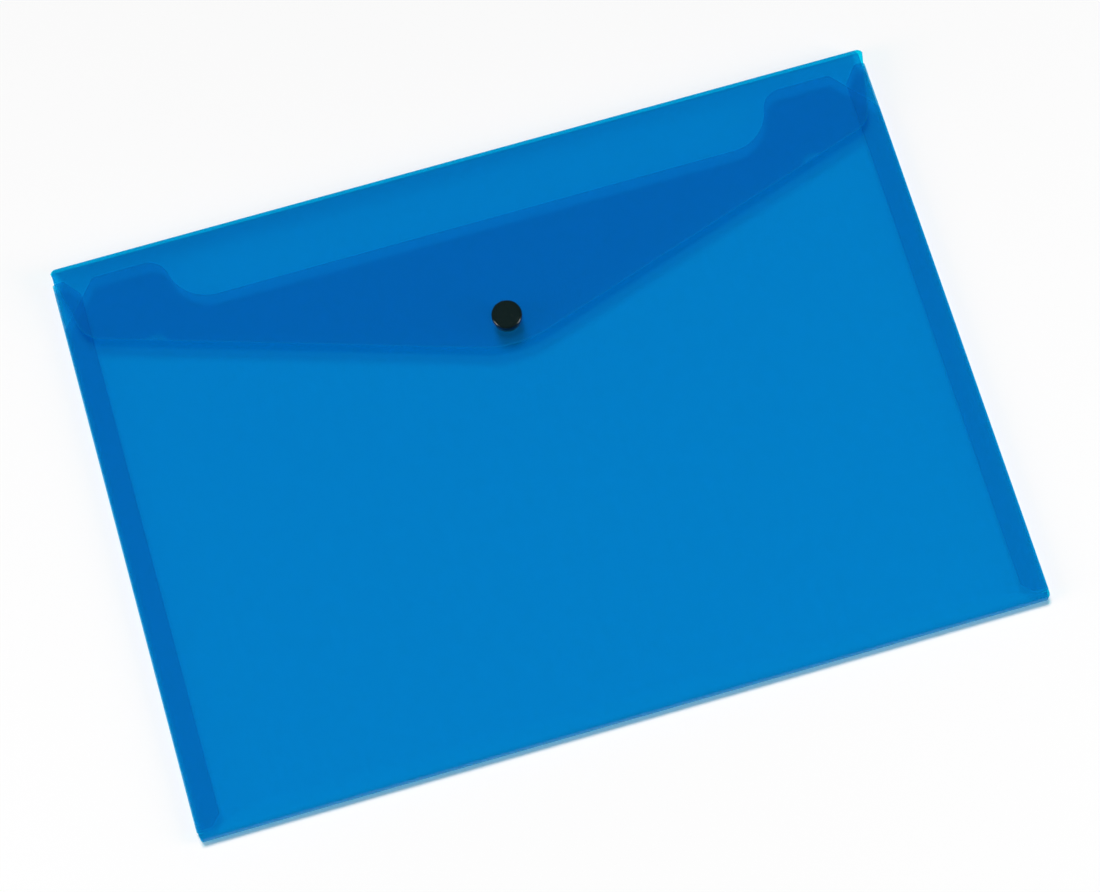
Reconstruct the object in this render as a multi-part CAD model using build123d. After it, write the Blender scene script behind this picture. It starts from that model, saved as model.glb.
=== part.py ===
from build123d import *
import os
from math import acos, cos, degrees, radians, sin, tan

# A document wallet for A4 paper, lying on its back with the flap snapped shut.
# It is one die-cut sheet of translucent polypropylene, folded up along the bottom, in at both
# sides and over along the top, and a four-piece plastic press stud.
# Millimetres and degrees. Origin: centre of the back face. +X right, +Y to the spine, +Z up.

# Overall sizes
wallet_width = 335.0  # over the two side folds
wallet_height = 240.0  # from the bottom fold to the spine
sheet = 0.2  # thickness of the sheet
pocket_depth = 4.8  # clear height between the back panel and the weld flaps

# Outline of the sheet in plan
edge_inset = 0.6  # cut side edges stand this far inside the side folds
top_corner_radius = 2.5  # at both ends of the spine
bottom_corner_radius = 2.0

# Weld flaps: narrow strips folded in from the back panel and welded under the front panel
weld_flap_width = 10.2
weld_flap_top = 7.4  # top end of the side folds, below the spine
weld_flap_bottom = 4.2  # bottom end of the side folds, above the bottom fold
weld_top_bevel_width = 5.5
weld_top_bevel_height = 7.0
weld_bottom_bevel = 4.0

# Front panel: a raised tab at each end of the mouth and a long thumb recess between them
tab_top = 9.0  # top of the tabs, below the spine
mouth_top = 29.5  # level middle of the mouth, below the spine
tab_inner = 36.7  # where the recess starts to fall away, from the side fold
tab_outer = 16.0  # where the outer bevel starts, from the side fold
tab_bevel_angle = 50.0  # fall of the outer bevel
tab_corner_radius = 2.0
recess_shoulder_radius = 8.5
recess_floor_radius = 17.0

# Spine and closure flap
crease_radius = 1.6  # outside radius of the two spine creases
spine_lean = 23.0  # the snapped flap pulls the top of the spine in over the pocket
flap_reach = 84.7  # spine to the tip of the flap
flap_slope = 18.0  # rise of the two long edges from the tip
flap_taper = 12.3  # lean of the two short side edges
flap_tip_radius = 42.0
flap_corner_radius = 11.0

# Press stud
stud_setback = 12.1  # tip of the flap to the axis of the press stud
cap_diameter = 12.0
cap_thickness = 1.8
cap_rim_radius = 0.8
stem_diameter = 2.4
rivet_overhang = 0.3  # rivet head past its stem, on the radius
rivet_head_thickness = 0.5
socket_diameter = 10.6
socket_height = 3.0
socket_web = 0.7
socket_wall = 0.8
collar_wall = 0.7  # springy ring that grips the knob
lip_height = 0.7
snap_grip = 0.15  # how far the lip stands in under the knob
stud_diameter = 10.4
stud_flange = 0.8
stud_ledge = 0.5  # what the post's rivet head bears on, above the flange
knob_diameter = 5.0
knob_crown = 0.35
post_diameter = 10.0
post_thickness = 0.6
rim_bevel = 0.25  # on the rims of the socket, stud and post

# Clearances
stem_clearance = 0.05  # stem in its bore, on the radius
punch_clearance = 0.1  # stem in the punched sheet, on the radius
snap_clearance = 0.3  # knob in the closed socket, and flange to socket rim
neck_clearance = 0.25  # neck of the knob inside the lip
relief = 0.3  # slit between a side fold and the sheet beside it

# Levels, from the table up
weld_bottom = sheet + pocket_depth
front_bottom = weld_bottom + sheet
front_top = front_bottom + sheet
flange_top = front_top + stud_flange
rim_level = flange_top + snap_clearance
flap_bottom = rim_level + socket_height
flap_top = flap_bottom + sheet
web_bottom = flap_bottom - socket_web
lip_top = rim_level + lip_height

# Places in plan
half_width = wallet_width / 2
half_height = wallet_height / 2
cut_edge = half_width - edge_inset
side_fold_radius = front_bottom / 2
side_fold_x = half_width - side_fold_radius
bottom_fold_radius = front_top / 2
bottom_fold_y = -half_height + bottom_fold_radius
crease_y = half_height - crease_radius
upper_crease_z = flap_top - crease_radius
spine_rise = upper_crease_z - crease_radius
upper_crease_y = crease_y - spine_rise * tan(radians(spine_lean))
side_fold_ends = (-half_height + weld_flap_bottom, half_height - weld_flap_top)
weld_inner = half_width - weld_flap_width
stud_y = half_height - flap_reach + stud_setback


def prism(outline, low, high):
    """Upright plate with the given plan outline."""
    return extrude(Pos(0, 0, low) * outline, amount=high - low, dir=(0, 0, 1))


def along_x(profile, start, end):
    """Bar along X whose section is drawn in (y, z)."""
    plane = Plane(origin=(start, 0, 0), x_dir=(0, 1, 0), z_dir=(1, 0, 0))
    return extrude(plane * profile, amount=end - start, dir=(1, 0, 0))


def along_y(profile, start, end):
    """Bar along Y whose section is drawn in (x, z)."""
    plane = Plane(origin=(0, start, 0), x_dir=(1, 0, 0), z_dir=(0, -1, 0))
    return extrude(plane * profile, amount=end - start, dir=(0, 1, 0))


def bend(centre, radius, start, sweep):
    """Section of sheet bent round a centre, between two directions."""
    outer = CenterArc(centre, radius, start, sweep)
    inner = CenterArc(centre, radius - sheet, start, sweep)
    sides = [Line(outer @ 0, inner @ 0), Line(outer @ 1, inner @ 1)]
    return make_face([outer, inner, *sides])


def turned(points):
    """Solid of revolution about the stud axis from corners given as (radius, height)."""
    face = Plane.XZ * make_face(Polyline(*points, close=True))
    return Pos(0, stud_y, 0) * revolve(face, axis=Axis.Z)


def rim(solid, radius, level):
    """Outer circular edge of a turned piece, of the given radius at the given level."""
    circles = solid.edges().filter_by(GeomType.CIRCLE)
    return circles.filter_by(lambda e: abs(e.radius - radius) < 1e-6 and abs(e.center().Z - level) < 1e-6)


def bottom_outline():
    """Plan of the pocket, with the rounded ends of the bottom fold."""
    outline = Rectangle(2 * cut_edge, wallet_height)
    return fillet(outline.vertices().sort_by(Axis.Y)[:2], bottom_corner_radius)


def top_space():
    """Slanted space flush with the outside of the spine, with the rounded ends of the creases."""
    lean = radians(spine_lean)
    top = crease_y + crease_radius * (1 / cos(lean) + 2 * tan(lean))
    outline = Pos(0, top - half_height, -crease_radius) * Rectangle(2 * cut_edge, wallet_height)
    outline = fillet(outline.vertices().sort_by(Axis.Y)[2:], top_corner_radius)
    length = (flap_top + 2 * crease_radius) / cos(lean)
    return extrude(outline, amount=length, dir=(0, -sin(lean), cos(lean)))


def punched(plate):
    """The plate with the round hole that a press-stud stem goes through."""
    hole_radius = stem_diameter / 2 + punch_clearance
    return plate - Pos(0, stud_y, flap_top / 2) * Cylinder(hole_radius, 2 * flap_top)


def back_panel():
    """Flat back, cut back at both sides to where the side folds start."""
    panel = prism(bottom_outline(), 0, sheet)
    length = crease_y - bottom_fold_y
    middle = Pos(0, (crease_y + bottom_fold_y) / 2, 0)
    panel = panel & middle * Box(wallet_width, length, 4 * sheet)
    low, high = side_fold_ends
    for side in (-1, 1):
        notch = Box(2 * side_fold_radius, high - low + 2 * relief, 4 * sheet)
        panel = panel - Pos(side * (side_fold_x + side_fold_radius), (low + high) / 2, 0) * notch
    return panel


def bottom_fold():
    """Half-round fold that turns the sheet up from the back into the front."""
    section = bend((bottom_fold_y, bottom_fold_radius), bottom_fold_radius, 90, 180)
    strip = along_x(section, -cut_edge, cut_edge)
    return strip & prism(bottom_outline(), -sheet, flap_top)


def mouth_curve(side):
    """From the tab's top down to the level middle of the mouth: two arcs that meet smoothly."""
    turn = degrees(acos(1 - (mouth_top - tab_top) / (recess_shoulder_radius + recess_floor_radius)))
    start = (side * (half_width - tab_inner), half_height - tab_top)
    shoulder = JernArc(start, (-side, 0), recess_shoulder_radius, side * turn)
    floor = JernArc(shoulder @ 1, shoulder % 1, recess_floor_radius, -side * turn)
    return shoulder, floor


def front_outline():
    """Plan of the front panel, with bevelled tabs and the thumb recess."""
    tab_y = half_height - tab_top
    bevel_start = half_width - tab_outer
    bevel_end_y = tab_y - (cut_edge - bevel_start) * tan(radians(tab_bevel_angle))
    edges = [Line((-cut_edge, bottom_fold_y), (cut_edge, bottom_fold_y))]
    floors = []
    for side in (-1, 1):
        shoulder, floor = mouth_curve(side)
        floors.append(floor @ 1)
        bevel_top = (side * bevel_start, tab_y)
        bevel_bottom = (side * cut_edge, bevel_end_y)
        edges += [Line((side * cut_edge, bottom_fold_y), bevel_bottom), Line(bevel_bottom, bevel_top)]
        edges += [Line(bevel_top, shoulder @ 0), shoulder, floor]
    edges.append(Line(floors[0], floors[1]))
    outline = make_face(edges)
    tips = [v for v in outline.vertices() if abs(v.Y - tab_y) < 1e-6 and abs(abs(v.X) - bevel_start) < 1e-6]
    return fillet(tips, tab_corner_radius)


def front_panel():
    """Flat front, punched for the stud's post."""
    return punched(prism(front_outline(), front_bottom, front_top))


def side_fold(side):
    """Half-round fold that turns the back panel's edge in over the pocket."""
    profile = bend((side * side_fold_x, side_fold_radius), side_fold_radius, -90, side * 180)
    return along_y(profile, *side_fold_ends)


def weld_flap(side):
    """Strip under the front panel, with bevelled ends."""
    low, high = side_fold_ends
    corners = [
        (side_fold_x, low),
        (weld_inner + weld_bottom_bevel, low),
        (weld_inner, low + weld_bottom_bevel),
        (weld_inner, high - weld_top_bevel_height),
        (weld_inner + weld_top_bevel_width, high),
        (side_fold_x, high),
    ]
    outline = make_face(Polyline(*[(side * x, y) for x, y in corners], close=True))
    return prism(outline, weld_bottom, front_bottom)


def lower_crease():
    """Round living hinge between the back panel and the leaning spine."""
    section = bend((crease_y, crease_radius), crease_radius, -90, 90 + spine_lean)
    return along_x(section, -cut_edge, cut_edge) & top_space()


def spine():
    """Narrow strip along the top between its two creases, leaning in over the pocket."""
    length = spine_rise / cos(radians(spine_lean))
    middle = Pos((crease_y + upper_crease_y) / 2, (crease_radius + upper_crease_z) / 2)
    wall = Pos(crease_radius - sheet / 2, 0) * Rectangle(sheet, length)
    section = middle * Rot(0, 0, spine_lean) * wall
    return along_x(section, -cut_edge, cut_edge) & top_space()


def upper_crease():
    """Round living hinge between the leaning spine and the flap."""
    section = bend((upper_crease_y, upper_crease_z), crease_radius, spine_lean, 90 - spine_lean)
    return along_x(section, -cut_edge, cut_edge) & top_space()


def flap_outline():
    """Plan of the flap: leaning sides, rounded corners and a long shallow V with a round tip."""
    rise = tan(radians(flap_slope))
    lean = tan(radians(flap_taper))
    apex_y = half_height - flap_reach - flap_tip_radius * (1 / cos(radians(flap_slope)) - 1)
    corner_x = (cut_edge - lean * (upper_crease_y - apex_y)) / (1 - lean * rise)
    corner_y = apex_y + rise * corner_x
    right = [(corner_x, corner_y), (cut_edge, upper_crease_y)]
    left = [(-x, y) for x, y in reversed(right)]
    points = [*left, (0, apex_y), *right]
    outline = make_face(Polyline(*points, close=True))
    tip = outline.vertices().sort_by(Axis.Y)[0]
    outline = fillet(tip, flap_tip_radius)
    corners = [v for v in outline.vertices() if abs(v.Y - corner_y) < 1e-6]
    return fillet(corners, flap_corner_radius)


def closure_flap():
    """Flat flap over the mouth, punched for the cap's stem."""
    flap = prism(flap_outline(), flap_bottom, flap_top)
    return punched(flap & top_space())


def snap_cap():
    """Outer cap with a round rim; its stem is riveted over inside the socket."""
    crown = flap_top + cap_thickness
    head_bottom = web_bottom - rivet_head_thickness
    stem = stem_diameter / 2
    head = stem + rivet_overhang
    cap = turned([
        (0, head_bottom), (head, head_bottom), (head, web_bottom), (stem, web_bottom),
        (stem, flap_top), (cap_diameter / 2, flap_top), (cap_diameter / 2, crown), (0, crown),
    ])
    return fillet(rim(cap, cap_diameter / 2, crown), cap_rim_radius)


def snap_socket():
    """Ring under the flap: an outer wall, and a springy collar whose lip grips the knob."""
    outer = socket_diameter / 2
    bore = stem_diameter / 2 + stem_clearance
    cavity = knob_diameter / 2 + snap_clearance
    lip = knob_diameter / 2 - snap_grip
    collar = cavity + collar_wall
    groove = outer - socket_wall
    lead_in = lip_height / 2
    ring = turned([
        (bore, flap_bottom), (outer, flap_bottom), (outer, rim_level), (groove, rim_level),
        (groove, web_bottom), (collar, web_bottom), (collar, rim_level), (lip + lead_in, rim_level),
        (lip, rim_level + lead_in), (lip, lip_top), (cavity, lip_top + cavity - lip),
        (cavity, web_bottom), (bore, web_bottom),
    ])
    return chamfer(rim(ring, outer, rim_level), rim_bevel)


def snap_stud():
    """Flange on the front panel with the waisted knob that the socket snaps over."""
    flange = stud_diameter / 2
    bore = stem_diameter / 2 + stem_clearance
    recess = stem_diameter / 2 + rivet_overhang + stem_clearance
    knob = knob_diameter / 2
    neck = knob - snap_grip - neck_clearance
    knob_top = web_bottom - rivet_head_thickness - snap_clearance
    shoulder = lip_top + knob - neck
    ledge = flange_top + stud_ledge
    stud = turned([
        (bore, front_top), (flange, front_top), (flange, flange_top), (neck, flange_top),
        (neck, lip_top), (knob, shoulder), (knob, knob_top - knob_crown),
        (knob - knob_crown, knob_top), (recess, knob_top), (recess, ledge), (bore, ledge),
    ])
    return chamfer(rim(stud, flange, flange_top), rim_bevel)


def snap_post():
    """Flat disc inside the pocket; its stem is riveted over inside the stud's knob."""
    ledge = flange_top + stud_ledge
    stem = stem_diameter / 2
    head = stem + rivet_overhang
    base = front_bottom - post_thickness
    disc = post_diameter / 2
    post = turned([
        (0, base), (disc, base), (disc, front_bottom), (stem, front_bottom), (stem, ledge),
        (head, ledge), (head, ledge + rivet_head_thickness), (0, ledge + rivet_head_thickness),
    ])
    return chamfer(rim(post, disc, base), rim_bevel)


parts = {
    "back_panel": back_panel(),
    "bottom_fold": bottom_fold(),
    "front_panel": front_panel(),
    "left_side_fold": side_fold(-1),
    "right_side_fold": side_fold(1),
    "left_weld_flap": weld_flap(-1),
    "right_weld_flap": weld_flap(1),
    "lower_crease": lower_crease(),
    "spine": spine(),
    "upper_crease": upper_crease(),
    "closure_flap": closure_flap(),
    "snap_cap": snap_cap(),
    "snap_socket": snap_socket(),
    "snap_stud": snap_stud(),
    "snap_post": snap_post(),
}

os.makedirs("parts", exist_ok=True)
for name, shape in parts.items():
    export_step(shape, f"parts/{name}.step")

print("spine hinge at y, z:", crease_y, crease_radius)
print("flap hinge at y, z:", upper_crease_y, upper_crease_z)
print("stud axis at y:", stud_y, " levels:", front_bottom, front_top, flap_bottom, flap_top)
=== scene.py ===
from math import asin, ceil, cos, hypot, pi, radians, sin, sqrt, tan

import bmesh
import bpy
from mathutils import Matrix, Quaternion, Vector
from mathutils.geometry import delaunay_2d_cdt, intersect_point_line


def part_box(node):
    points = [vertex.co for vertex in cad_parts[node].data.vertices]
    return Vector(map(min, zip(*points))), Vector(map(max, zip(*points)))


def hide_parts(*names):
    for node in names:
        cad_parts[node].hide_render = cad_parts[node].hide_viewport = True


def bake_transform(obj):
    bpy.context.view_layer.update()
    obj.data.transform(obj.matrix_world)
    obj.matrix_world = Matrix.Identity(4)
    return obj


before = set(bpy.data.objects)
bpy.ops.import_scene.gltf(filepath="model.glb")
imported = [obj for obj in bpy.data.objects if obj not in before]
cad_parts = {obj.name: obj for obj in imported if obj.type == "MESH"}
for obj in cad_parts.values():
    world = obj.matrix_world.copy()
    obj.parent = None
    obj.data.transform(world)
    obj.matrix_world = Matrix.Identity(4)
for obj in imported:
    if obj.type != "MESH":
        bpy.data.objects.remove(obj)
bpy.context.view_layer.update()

# Looks of a translucent press-stud document wallet. Metres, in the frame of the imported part.
# The sheet is built as it is made: flat stretches inside their own cut outlines, joined by bends,
# then given its thickness. The press stud keeps its solids and gets a moulded plastic finish.

MM = 0.001

# Places and levels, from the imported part
back_low, back_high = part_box("back_panel")
front_low, front_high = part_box("front_panel")
weld_low, weld_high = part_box("right_weld_flap")
side_low, side_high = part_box("right_side_fold")
bottom_low, bottom_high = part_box("bottom_fold")
lower_low, lower_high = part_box("lower_crease")
upper_low, upper_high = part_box("upper_crease")
flap_low, flap_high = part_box("closure_flap")
cap_low, cap_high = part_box("snap_cap")

sheet = back_high.z - back_low.z
cut_edge = front_high.x
top_y = lower_high.y
bottom_y = bottom_low.y
fold_y = bottom_high.y
side_x = side_low.x
crease_y = back_high.y
crease_radius = top_y - crease_y
lean = asin(lower_high.z / crease_radius - 1)
lower_centre = Vector((0, crease_y, crease_radius))
upper_centre = Vector((0, upper_low.y, flap_high.z - crease_radius))
spine_out = Vector((0, cos(lean), sin(lean)))
stud_nodes = ("snap_cap", "snap_socket", "snap_stud", "snap_post")
stud_centre = Vector(((cap_low.x + cap_high.x) / 2, (cap_low.y + cap_high.y) / 2))

# Fine shape of the sheet
top_corner = 2.5 * MM
bottom_corner = 2.0 * MM
cut_band = 0.7 * MM  # width of the painted glow, a paler band along the cut edges
weld_gap = 0.02 * MM  # keeps the welded sheets from sharing a surface
seam_gap = 0.02 * MM  # between the lower and upper halves of the spine
bow_grid = 9 * MM  # spacing of the points that let a panel bow
bow_fade = 30 * MM  # a panel is straight at its creases and bows this far from them
front_bow = 0.15 * MM
flap_bow = 0.25 * MM
fold_steps = 14
crease_steps = 11
touch = 0.004 * MM  # closer points are the same point
stud_calm = 8 * MM  # flat round the stud
wave_long, wave_short = (31, 37), (58, 43)  # radians to the metre along X and Y
wave_start = (0.7, 0.4, 1.9)
wave_share = 0.7  # of the long wave, and the rest of the short one
smooth_angle = radians(40)  # sharper edges than this stay sharp

# Colour and finish of the sheet
clear_tint = (0.02, 0.846, 0.955, 1)
painted_shade_tint = (0.02, 0.81, 0.93, 1)  # denser on the spine and its creases: painted shade along the top edge
haze_colour = (0.0, 0.50, 0.93, 1)
front_haze, plain_haze = 0.112, 0.060
painted_light_right, painted_light_down = 0.16, 0.14  # painted light: the front hazier, so paler, towards its lower right
# painted glow: the sheet is hazier, so paler, along its cut edges and round its folds
cut_painted_glow, fold_painted_glow = 0.07, 0.12
cloud_scale, grain_scale = 12.0, 900.0  # lumps to the metre
streak_scale = (900, 14, 14)
grain_strength, grain_depth = 0.12, 0.02 * MM
haze_roughness = 0.6
uneven_share = 0.2
sheet_gloss = 0.3
mirror_share, grazing_share = 0.04, 0.4

# Colour and finish of the press stud
stud_dark, stud_light = (0.003, 0.010, 0.010, 1), (0.007, 0.016, 0.016, 1)
stud_cloud_scale, stud_grain_scale = 700.0, 9000.0
stud_grain_strength, stud_grain_depth = 0.1, 0.01 * MM
stud_roughness, stud_rough_spread = 0.08, 0.06
stud_specular = 0.5

# Light and camera
key_azimuth, key_elevation, key_reach = 96, 68, 2.0
key_energy, key_angle = 2.70, radians(19)
side_azimuths = {"left": 185, "right": -26}
side_elevation, side_reach, side_width = 30, 1.3, 0.5
fill_energy, fill_height = 3.2, 0.8
glint_energy, glint_height = 50.0, 0.12
sky_strength = 0.03
floor_half, floor_drop = 6.0, 0.1 * MM
floor_white = (0.97, 0.97, 0.97, 1)
lens, sensor_width = 119.86, 36.0
camera_place = Vector((-0.10223, -0.45799, 1.34043))
camera_aim = Vector((0.00191, -0.00573, 0.0))
camera_roll = radians(-3.401)


# Outlines

def flat_loops(node, level):
    """Outlines of a node's flat face at a level, in plan, with the outer one first."""
    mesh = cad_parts[node].data
    follow = {}
    for face in mesh.polygons:
        corners = [mesh.vertices[i].co for i in face.vertices]
        if any(abs(c.z - level) > touch for c in corners):
            continue
        keys = [(round(c.x / touch), round(c.y / touch)) for c in corners]
        for a, b in zip(keys, keys[1:] + keys[:1]):
            if (b, a) in follow:
                del follow[b, a]
            else:
                follow[a, b] = True
    after = {a: b for a, b in follow}
    loops = []
    while after:
        ring = [next(iter(after))]
        while ring[-1] in after:
            ring.append(after.pop(ring[-1]))
        loops.append([Vector((x * touch, y * touch)) for x, y in ring[:-1]])
    return sorted(loops, key=lambda ring: -abs(area(ring)))


def area(ring):
    """Signed area of a closed outline."""
    return sum(a.cross(b) for a, b in zip(ring, ring[1:] + ring[:1])) / 2


def distance(point, a, b):
    """Distance in plan from a point to the stretch between a and b."""
    near, share = intersect_point_line(point, a, b)
    near = a if share < 0 else b if share > 1 else near
    return hypot(near[0] - point.x, near[1] - point.y)


def with_point(ring, point):
    """The outline with a point added on the edge that it lies on."""
    if any((point - p).length < touch for p in ring):
        return ring
    for i, a in enumerate(ring):
        b = ring[(i + 1) % len(ring)]
        if distance(point, a, b) < touch:
            return ring[:i + 1] + [point] + ring[i + 1:]
    return ring


def inside(point, ring):
    """Whether a point in plan lies inside an outline."""
    odd = False
    for a, b in zip(ring, ring[1:] + ring[:1]):
        if (a.y > point.y) != (b.y > point.y):
            if point.x < a.x + (point.y - a.y) * (b.x - a.x) / (b.y - a.y):
                odd = not odd
    return odd


def hinge_points(a, b):
    """Ends of a bend line, and the points one pale band in from them."""
    step = (b - a).normalized() * cut_band
    return a, a + step, b - step, b


def edge_ring(ring, hinges):
    """An outline with points close enough to bow, each with whether it is on a cut edge."""
    for a, b in hinges:
        for point in hinge_points(a, b):
            ring = with_point(ring, point)
    out = []
    for a, b in zip(ring, ring[1:] + ring[:1]):
        on_bend = [h for h in hinges if distance(a, *h) < touch]
        is_end = any(min((a - h[0]).length, (a - h[1]).length) < touch for h in on_bend)
        out.append((a, 1.0 if is_end or not on_bend else 0.0))
        if any(distance(b, *h) < touch for h in on_bend):
            continue
        pieces = ceil((b - a).length / bow_grid)
        out += [(a.lerp(b, k / pieces), 1.0) for k in range(1, pieces)]
    return out


def band_points(ring):
    """Points one pale band in from the cut edges of an outline that runs anticlockwise."""
    out = []
    for i, (point, cut) in enumerate(ring):
        before, after = ring[i - 1][0], ring[(i + 1) % len(ring)][0]
        run = (point - before).normalized() + (after - point).normalized()
        if not cut or run.length < 0.5:
            continue
        inward = Vector((-run.y, run.x)) / run.length
        out.append(point + inward * cut_band * 2 / run.length)
    return out


def grid_points(ring):
    """Even points over the inside of an outline."""
    low = Vector((min(p.x for p in ring), min(p.y for p in ring)))
    high = Vector((max(p.x for p in ring), max(p.y for p in ring)))
    columns, rows = ceil((high.x - low.x) / bow_grid), ceil((high.y - low.y) / bow_grid)
    for i in range(1, columns):
        for j in range(1, rows):
            share = Vector((i / columns, j / rows))
            yield low + Vector(((high.x - low.x) * share.x, (high.y - low.y) * share.y))


# Sheet, as a surface in its middle with a direction out of the wallet at every point

class Net:
    """Middle surface of a folded sheet."""

    def __init__(self):
        self.mesh = bmesh.new()
        layers = self.mesh.verts.layers
        self.out = layers.float_vector.new("out")
        self.marks = {mark: layers.float.new(mark) for mark in ("cut", "fold", "haze", "deep")}

    def point(self, place, out, **marks):
        vert = self.mesh.verts.new(place)
        vert[self.out] = out
        for mark, value in marks.items():
            vert[self.marks[mark]] = value
        return vert

    def face(self, verts):
        face = self.mesh.faces.new(verts)
        face.normal_update()
        if face.normal.dot(sum((v[self.out] for v in verts), Vector())) < 0:
            face.normal_flip()


def add_panel(net, loops, level, out, hinges, bow, finish):
    """Flat stretch of sheet inside its outlines, on points close enough to bow a little."""
    outer = edge_ring(loops[0], hinges)
    rings = [outer] + [[(p, 0.0) for p in hole] for hole in loops[1:]]
    points, edges = [], []
    for ring in rings:
        first = len(points)
        points += ring
        edges += [(first + i, first + (i + 1) % len(ring)) for i in range(len(ring))]
    walls = [(points[i][0], points[j][0]) for i, j in edges]
    band_room, grid_room = 0.8 * cut_band, 0.4 * bow_grid
    spots = [(p, band_room) for p in band_points(outer)]
    spots += [(p, grid_room) for p in grid_points(loops[0])]
    for spot, room in spots:
        if inside(spot, loops[0]) and min(distance(spot, a, b) for a, b in walls) > room:
            points.append((spot, 0.0))
    inside_with_holes = 2
    coords, _, faces, source, _, _ = delaunay_2d_cdt(
        [p / MM for p, _ in points], edges, [], inside_with_holes, 1e-6)
    verts = []
    for place, origin in zip(coords, source):
        plan = place * MM
        cut = max((points[i][1] for i in origin), default=0.0)
        verts.append(net.point((plan.x, plan.y, level + bow(plan)), out, cut=cut, **finish(plan)))
    for face in faces:
        net.face([verts[i] for i in face])


def add_strip(net, rows):
    """Bent or straight strip of sheet between rows of points."""
    made = [[net.point(place, out, **marks) for place, out, marks in row] for row in rows]
    for one, two in zip(made, made[1:]):
        for i in range(len(one) - 1):
            net.face([one[i], one[i + 1], two[i + 1], two[i]])


def ends(limit):
    """Places across a strip that reaches limit on both sides, with its two pale bands."""
    return [(-limit, 1.0), (-limit + cut_band, 0.0), (limit - cut_band, 0.0), (limit, 1.0)]


def slant(z):
    """Y of the outside of the leaning spine, carried on up and down, at a height."""
    return crease_y + crease_radius * (1 / cos(lean) + tan(lean)) - z * tan(lean)


def top_limit(y, z):
    """Half width of the sheet at a point of its outside near the spine, inside the rounded ends."""
    rise = min(top_corner, max(0.0, y - slant(z) + top_corner))
    return cut_edge - top_corner + sqrt(top_corner ** 2 - rise ** 2)


def bottom_limit(y):
    """Half width of the sheet near the bottom fold, inside the rounded bottom corners."""
    drop = max(0.0, bottom_y + bottom_corner - y)
    return cut_edge - bottom_corner + sqrt(bottom_corner ** 2 - drop ** 2)


def across_row(y, z, out, limit, **marks):
    """Row of a strip that runs along X."""
    return [(Vector((x, y, z)), out, dict(marks, cut=cut)) for x, cut in ends(limit)]


def bottom_rows():
    """Half round from the back panel up into the front panel."""
    centre_z = (bottom_low.z + bottom_high.z) / 2
    radius = centre_z - sheet / 2
    for k in range(fold_steps + 1):
        turn = pi * k / fold_steps
        out = Vector((0, -sin(turn), -cos(turn)))
        y, z = fold_y + radius * out.y, centre_z + radius * out.z
        haze = front_haze * k / fold_steps
        yield across_row(y, z, out, bottom_limit(y), fold=sin(turn), haze=haze)


def side_rows(side):
    """Half round from the back panel in to a weld flap."""
    low_z, high_z = sheet / 2, (weld_low.z + weld_high.z) / 2 - weld_gap
    centre_z, radius = (low_z + high_z) / 2, (high_z - low_z) / 2
    run = [side_low.y, side_low.y + cut_band, side_high.y - cut_band, side_high.y]
    for k in range(fold_steps + 1):
        turn = pi * k / fold_steps
        out = Vector((side * sin(turn), 0, -cos(turn)))
        x, z = side * side_x + radius * out.x, centre_z + radius * out.z
        marks = {"fold": sin(turn), "haze": plain_haze}
        yield [(Vector((x, y, z)), out, dict(marks, cut=float(i in (0, 3)))) for i, y in enumerate(run)]


def crease_rows(centre, end):
    """Rows of a spine crease, turned from the leaning spine to a flat panel."""
    for k in range(crease_steps + 1):
        turn = lean + (end - lean) * k / crease_steps
        out = Vector((0, cos(turn), sin(turn)))
        edge = centre + out * crease_radius
        middle = edge - out * sheet / 2
        limit = top_limit(edge.y, edge.z)
        # the spine's creases take the denser tint, a painted shade
        yield across_row(middle.y, middle.z, out, limit, deep=1.0, haze=plain_haze)


def seam_row(shift):
    """Row across the middle of the spine, moved so far up along it."""
    along = Vector((0, -sin(lean), cos(lean)))
    halfway = (lower_centre + upper_centre) / 2
    middle = halfway + spine_out * (crease_radius - sheet / 2) + along * shift
    limit = cut_edge - top_corner
    # the middle of the spine takes the denser tint, a painted shade
    return across_row(middle.y, middle.z, spine_out, limit, deep=1.0, haze=plain_haze)


def ease(share):
    """Smooth step from 0 to 1."""
    share = min(1.0, max(0.0, share))
    return share * share * (3 - 2 * share)


def wave(plan):
    """Gentle unevenness of a sheet that has lain folded, from -1 to 1."""
    along, across, slanted = wave_start
    long = sin(plan.x * wave_long[0] + along) * sin(plan.y * wave_long[1] + across)
    short = sin(plan.x * wave_short[0] - plan.y * wave_short[1] + slanted)
    return wave_share * long + (1 - wave_share) * short


def stud_fade(plan):
    return ease(((plan - stud_centre).length - stud_calm) / bow_fade)


def front_shape(plan):
    """Bow of the front panel and the weld flaps under it."""
    hold = ease((side_x - abs(plan.x)) / bow_fade) * ease((plan.y - fold_y) / bow_fade)
    return front_bow * wave(plan) * hold * stud_fade(plan)


def flap_shape(plan):
    """Bow of the closure flap."""
    hold = ease((upper_centre.y - plan.y) / bow_fade)
    return flap_bow * wave(Vector((plan.y, plan.x))) * hold * stud_fade(plan)


def flat_shape(plan):
    return 0.0


def front_finish(plan):
    """The front is hazier than the rest, and paler towards its lower right: painted light, as if lit
    more there.
    """
    right, down = plan.x / cut_edge, -plan.y / top_y
    return {"haze": front_haze * (1 + painted_light_right * right + painted_light_down * down)}


def plain_finish(plan):
    return {"haze": plain_haze}


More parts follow.
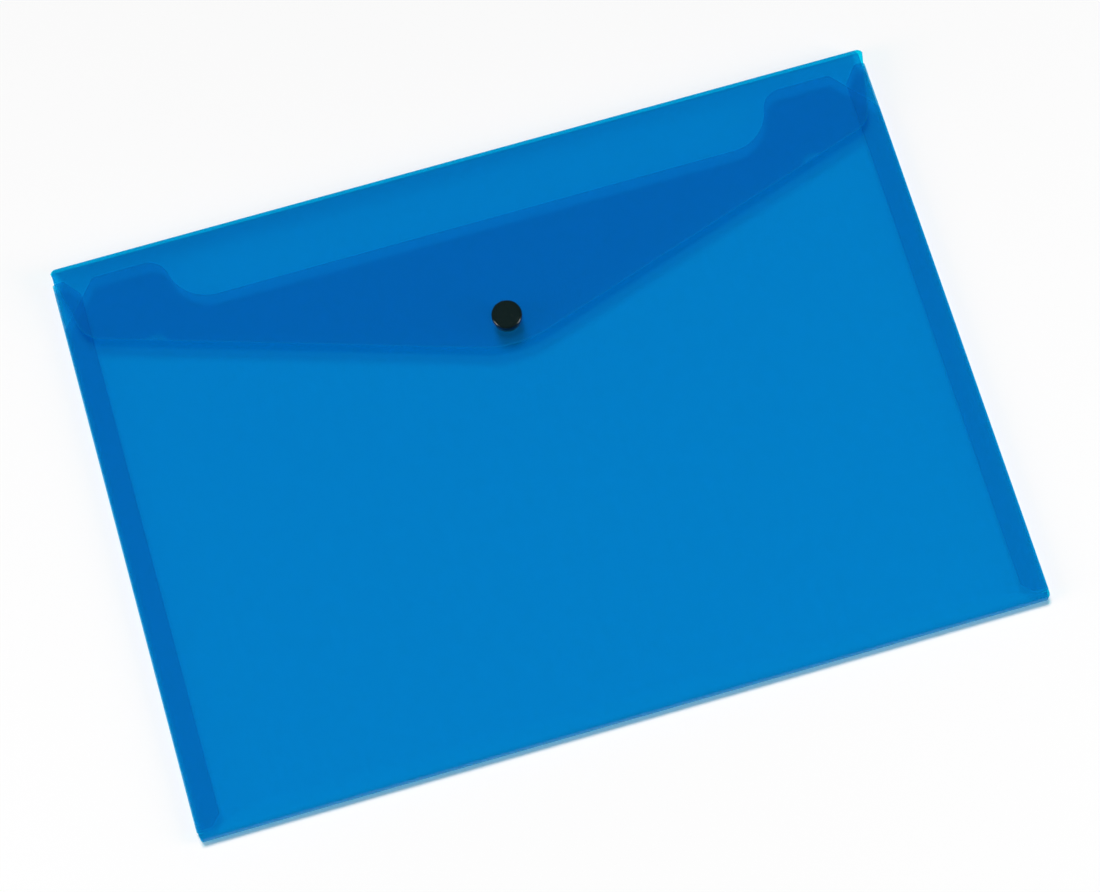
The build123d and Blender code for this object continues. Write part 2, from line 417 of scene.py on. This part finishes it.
def build_sheet(net, name):
    """Closed solid of a folded sheet, with its middle surface's marks kept on the points."""
    net.mesh.verts.ensure_lookup_table()
    bmesh.ops.remove_doubles(net.mesh, verts=net.mesh.verts[:], dist=2 * touch)
    net.mesh.verts.index_update()
    verts = net.mesh.verts[:]
    count = len(verts)
    places = [v.co + v[net.out] * sheet / 2 for v in verts]
    places += [v.co - v[net.out] * sheet / 2 for v in verts]
    faces = []
    for face in net.mesh.faces:
        corners = [v.index for v in face.verts]
        faces += [corners, [i + count for i in reversed(corners)]]
    for edge in net.mesh.edges:
        if edge.is_boundary:
            loop = edge.link_loops[0]
            a, b = loop.vert.index, loop.link_loop_next.vert.index
            faces.append([b, a, a + count, b + count])
    mesh = bpy.data.meshes.new(name)
    mesh.from_pydata(places, [], faces)
    for mark, layer in net.marks.items():
        values = [v[layer] for v in verts]
        mesh.attributes.new(mark, "FLOAT", "POINT").data.foreach_set("value", values * 2)
    rest = [c for place in places for c in place]
    mesh.attributes.new("rest", "FLOAT_VECTOR", "POINT").data.foreach_set("vector", rest)
    mesh.polygons.foreach_set("use_smooth", [True] * len(mesh.polygons))
    mesh.set_sharp_from_angle(angle=smooth_angle)
    mesh.validate()
    net.mesh.free()
    piece = bpy.data.objects.new(name, mesh)
    bpy.context.scene.collection.objects.link(piece)
    return piece


def side_hinge(side):
    """Bend line between the back panel or a weld flap and a side fold, in plan."""
    return Vector((side * side_x, side_low.y)), Vector((side * side_x, side_high.y))


def level_hinge(y, limit):
    """Bend line along X, in plan."""
    return Vector((-limit, y)), Vector((limit, y))


def make_pocket():
    """Lower half of the spine, back, side folds, weld flaps, bottom fold and front in one sheet."""
    net = Net()
    up, down = Vector((0, 0, 1)), Vector((0, 0, -1))
    bottom = level_hinge(fold_y, bottom_limit(fold_y))
    top = level_hinge(crease_y, cut_edge)
    back_hinges = [bottom, top, side_hinge(-1), side_hinge(1)]
    back_loops = flat_loops("back_panel", back_high.z)
    add_panel(net, back_loops, sheet / 2, down, back_hinges, flat_shape, plain_finish)
    front_loops = flat_loops("front_panel", front_high.z)
    front_level = (front_low.z + front_high.z) / 2
    add_panel(net, front_loops, front_level, up, [bottom], front_shape, front_finish)
    weld_level = (weld_low.z + weld_high.z) / 2 - weld_gap
    for side, node in ((-1, "left_weld_flap"), (1, "right_weld_flap")):
        loops = flat_loops(node, weld_high.z)
        add_panel(net, loops, weld_level, up, [side_hinge(side)], front_shape, plain_finish)
        add_strip(net, side_rows(side))
    add_strip(net, bottom_rows())
    add_strip(net, [seam_row(-seam_gap / 2), *crease_rows(lower_centre, -pi / 2)])
    return build_sheet(net, "pocket_sheet")


def make_flap():
    """Upper half of the spine and the closure flap in one sheet."""
    net = Net()
    top = level_hinge(upper_centre.y, top_limit(upper_centre.y, flap_high.z))
    level = (flap_low.z + flap_high.z) / 2
    loops = flat_loops("closure_flap", flap_high.z)
    add_panel(net, loops, level, Vector((0, 0, 1)), [top], flap_shape, plain_finish)
    add_strip(net, [seam_row(seam_gap / 2), *crease_rows(upper_centre, pi / 2)])
    return build_sheet(net, "flap_sheet")


# Materials

def add_node(tree, kind, **inputs):
    """A shader node with values set on its sockets; a socket's name has _ for a space."""
    node = tree.nodes.new(kind)
    for name, value in inputs.items():
        socket = node.inputs[name.replace("_", " ")]
        if isinstance(value, bpy.types.NodeSocket):
            tree.links.new(value, socket)
        else:
            socket.default_value = value
    return node


def math(tree, operation, a, b=0.0):
    """Output of a math node."""
    node = tree.nodes.new("ShaderNodeMath")
    node.operation = operation
    for socket, value in zip(node.inputs, (a, b)):
        if isinstance(value, bpy.types.NodeSocket):
            tree.links.new(value, socket)
        else:
            socket.default_value = value
    return node.outputs[0]


def attribute(tree, name):
    node = tree.nodes.new("ShaderNodeAttribute")
    node.attribute_name = name
    return node


def noise(tree, place, scale, detail=2.0):
    """Fractal noise about 0.5, at so many lumps to the metre."""
    return add_node(tree, "ShaderNodeTexNoise", Vector=place, Scale=scale, Detail=detail).outputs["Fac"]


def new_material(name):
    """Empty node material and its output."""
    material = bpy.data.materials.new(name)
    material.use_nodes = True
    tree = material.node_tree
    tree.nodes.clear()
    return material, tree, tree.nodes.new("ShaderNodeOutputMaterial")


def mix(tree, share, one, two):
    """Mix of two shaders."""
    node = tree.nodes.new("ShaderNodeMixShader")
    if isinstance(share, bpy.types.NodeSocket):
        tree.links.new(share, node.inputs[0])
    else:
        node.inputs[0].default_value = share
    tree.links.new(one, node.inputs[1])
    tree.links.new(two, node.inputs[2])
    return node.outputs[0]


def blend_colour(tree, share, one, two):
    """Colour between two, by a share that varies over the surface."""
    node = tree.nodes.new("ShaderNodeMix")
    node.data_type = "RGBA"
    tree.links.new(share, node.inputs["Factor"])
    node.inputs[6].default_value = one
    node.inputs[7].default_value = two
    return node.outputs[2]


def sheet_material():
    """Clear blue polypropylene: tints what is behind it, with a little haze and a smooth gloss."""
    material, tree, output = new_material("blue_polypropylene")
    rest = attribute(tree, "rest").outputs["Vector"]
    stretch = add_node(tree, "ShaderNodeMapping", Vector=rest, Scale=streak_scale).outputs[0]
    cloud = noise(tree, rest, cloud_scale)
    streak = noise(tree, stretch, 1.0)
    grain = noise(tree, rest, grain_scale, 3.0)
    # painted glow along the cut edges and round the folds
    cut = math(tree, "MULTIPLY", attribute(tree, "cut").outputs["Fac"], cut_painted_glow)
    fold = math(tree, "MULTIPLY", attribute(tree, "fold").outputs["Fac"], fold_painted_glow)
    uneven = math(tree, "MULTIPLY", math(tree, "ADD", cloud, streak), uneven_share)
    spread = math(tree, "ADD", uneven, 1 - uneven_share)
    # the haze carries the front's paler lower right, which is painted light
    haze_and_painted_falloff = math(tree, "MULTIPLY", attribute(tree, "haze").outputs["Fac"], spread)
    haze = math(tree, "ADD", haze_and_painted_falloff, math(tree, "ADD", cut, fold))
    bump = add_node(tree, "ShaderNodeBump", Height=grain, Strength=grain_strength, Distance=grain_depth)
    # denser tint on the spine and its creases: painted shade along the top edge
    deep = attribute(tree, "deep").outputs["Fac"]
    tint = blend_colour(tree, deep, clear_tint, painted_shade_tint)
    clear = add_node(tree, "ShaderNodeBsdfTransparent", Color=tint)
    body = add_node(tree, "ShaderNodeBsdfPrincipled", Normal=bump.outputs[0])
    body.inputs["Base Color"].default_value = haze_colour
    body.inputs["Roughness"].default_value = haze_roughness
    body.inputs["Specular IOR Level"].default_value = 0.0
    facing = tree.nodes.new("ShaderNodeLayerWeight").outputs["Facing"]
    grazing = math(tree, "MULTIPLY", math(tree, "POWER", facing, 5.0), grazing_share)
    gloss = add_node(tree, "ShaderNodeBsdfGlossy", Roughness=sheet_gloss, Normal=bump.outputs[0])
    gloss.distribution = "BECKMANN"
    plastic = mix(tree, haze, clear.outputs[0], body.outputs[0])
    shine = mix(tree, math(tree, "ADD", grazing, mirror_share), plastic, gloss.outputs[0])
    tree.links.new(shine, output.inputs["Surface"])
    return material


def stud_material():
    """Black moulded plastic, satin, with a fine spark-eroded grain."""
    material, tree, output = new_material("black_moulded_plastic")
    place = tree.nodes.new("ShaderNodeTexCoord").outputs["Object"]
    cloud = noise(tree, place, stud_cloud_scale)
    grain = noise(tree, place, stud_grain_scale, 3.0)
    bump = add_node(tree, "ShaderNodeBump", Height=grain,
                    Strength=stud_grain_strength, Distance=stud_grain_depth)
    shade = tree.nodes.new("ShaderNodeValToRGB")
    shade.color_ramp.elements[0].color = stud_dark
    shade.color_ramp.elements[1].color = stud_light
    tree.links.new(cloud, shade.inputs[0])
    rough = math(tree, "ADD", math(tree, "MULTIPLY", cloud, stud_rough_spread), stud_roughness)
    body = add_node(tree, "ShaderNodeBsdfPrincipled", Base_Color=shade.outputs[0],
                    Roughness=rough, Normal=bump.outputs[0])
    body.inputs["Specular IOR Level"].default_value = stud_specular
    tree.links.new(body.outputs[0], output.inputs["Surface"])
    return material


def floor_material():
    material, tree, output = new_material("white_table")
    body = add_node(tree, "ShaderNodeBsdfDiffuse", Color=floor_white)
    tree.links.new(body.outputs[0], output.inputs["Surface"])
    return material


# Stage, light and camera

def make_floor():
    mesh = bpy.data.meshes.new("table")
    signs = ((-1, -1), (1, -1), (1, 1), (-1, 1))
    corners = [(x * floor_half, y * floor_half, -floor_drop) for x, y in signs]
    mesh.from_pydata(corners, [], [(0, 1, 2, 3)])
    mesh.materials.append(floor_material())
    floor = bpy.data.objects.new("table", mesh)
    bpy.context.scene.collection.objects.link(floor)


def from_angle(azimuth, elevation):
    """Direction towards a place in the sky, azimuth from +X round to +Y."""
    a, e = radians(azimuth), radians(elevation)
    return Vector((cos(a) * cos(e), sin(a) * cos(e), sin(e)))


def add_light(name, kind, towards, reach, energy):
    """A light that shines on the wallet from a direction."""
    data = bpy.data.lights.new(name, kind)
    data.energy = energy
    light = bpy.data.objects.new(name, data)
    light.location = towards * reach
    light.rotation_euler = towards.to_track_quat("Z", "Y").to_euler()
    bpy.context.scene.collection.objects.link(light)
    return light


def add_side_light(name, azimuth, energy, height):
    """A low light beside the wallet."""
    light = add_light(name, "AREA", from_angle(azimuth, side_elevation), side_reach, energy)
    light.data.shape = "RECTANGLE"
    light.data.size, light.data.size_y = side_width, height
    return light


def make_light():
    """A high key light behind the wallet, a soft fill on each side and strips for the stud's glints."""
    stud = bpy.data.collections.new("press_stud")
    for node in stud_nodes:
        stud.objects.link(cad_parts[node])
    key = add_light("key", "SUN", from_angle(key_azimuth, key_elevation), key_reach, key_energy)
    key.data.angle = key_angle
    key.visible_glossy = False
    for side, azimuth in side_azimuths.items():
        add_side_light(f"{side}_fill", azimuth, fill_energy, fill_height)
        glint = add_side_light(f"{side}_glint", azimuth, glint_energy, glint_height)
        glint.visible_diffuse = False
        glint.light_linking.receiver_collection = stud
    world = bpy.data.worlds.new("studio")
    world.use_nodes = True
    sky = world.node_tree.nodes["Background"]
    sky.inputs["Color"].default_value = (1, 1, 1, 1)
    sky.inputs["Strength"].default_value = sky_strength
    bpy.context.scene.world = world


def make_camera():
    """The photograph's view: from above the foot of the wallet, a little from its left."""
    data = bpy.data.cameras.new("camera")
    data.sensor_fit = "HORIZONTAL"
    data.sensor_width = sensor_width
    data.lens = lens
    camera = bpy.data.objects.new("camera", data)
    camera.location = camera_place
    look = camera_aim - camera_place
    camera.rotation_mode = "QUATERNION"
    camera.rotation_quaternion = look.to_track_quat("-Z", "Y") @ Quaternion((0, 0, 1), camera_roll)
    bpy.context.scene.collection.objects.link(camera)
    bpy.context.scene.camera = camera


# The wallet

def dress():
    plastic, black = sheet_material(), stud_material()
    pocket, flap = make_pocket(), make_flap()
    for piece in (pocket, flap):
        piece.data.materials.append(plastic)
    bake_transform(pocket)
    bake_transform(flap)
    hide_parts("back_panel", "bottom_fold", "front_panel", "left_side_fold", "right_side_fold",
                "left_weld_flap", "right_weld_flap", "lower_crease")
    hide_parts("spine", "upper_crease", "closure_flap")
    for node in stud_nodes:
        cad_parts[node].data.materials[0] = black


scene = bpy.context.scene
scene.view_settings.view_transform = "Standard"
scene.cycles.transparent_max_bounces = 48
dress()
make_floor()
make_light()
make_camera()
